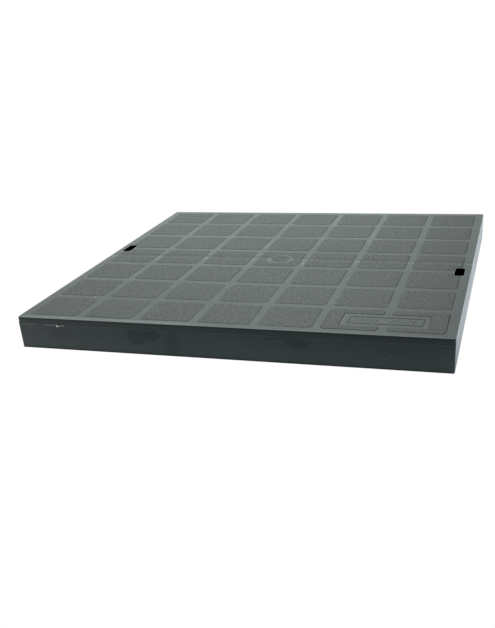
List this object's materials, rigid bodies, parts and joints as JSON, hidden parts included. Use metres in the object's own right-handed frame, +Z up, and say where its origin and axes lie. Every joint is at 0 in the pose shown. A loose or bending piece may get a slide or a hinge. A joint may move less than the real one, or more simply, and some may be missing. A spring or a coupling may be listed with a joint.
{
  "type": "manhole cover and frame",
  "caption": "Low square plastic access cover: a ribbed lid with raised anti-slip pads and lifting slots, lying on a channel-shaped frame with a rubber seal.",
  "frame": {"origin": "centre of the frame's underside", "axes": "+Z up, out of the chamber; +X to the right and +Y to the back, as seen from the side of the lid that carries the marker panel"},
  "size_m": [0.4, 0.4, 0.031],
  "materials": {
    "lid_plastic": "dark charcoal-grey moulded polypropylene, fine-grained on the pads and satin between them",
    "frame_plastic": "dark charcoal-grey moulded polypropylene, satin",
    "seal_rubber": "matt black EPDM",
    "cup_plastic": "black moulded polypropylene",
    "screw_steel": "plain stainless steel"
  },
  "bodies": {
    "frame": {"frame": "frame_plastic", "frame_seal": "seal_rubber"},
    "lid": {"lid": "lid_plastic", "key_cup_left": "cup_plastic", "key_cup_right": "cup_plastic", "cup_screw_left_front": "screw_steel", "cup_screw_left_back": "screw_steel", "cup_screw_right_front": "screw_steel", "cup_screw_right_back": "screw_steel"}
  },
  "joints": [
    {"name": "lid_lift", "type": "slide", "parent": "frame", "child": "lid", "axis": [0, 0, 1], "range_m": [0, 0.15]}
  ]
}
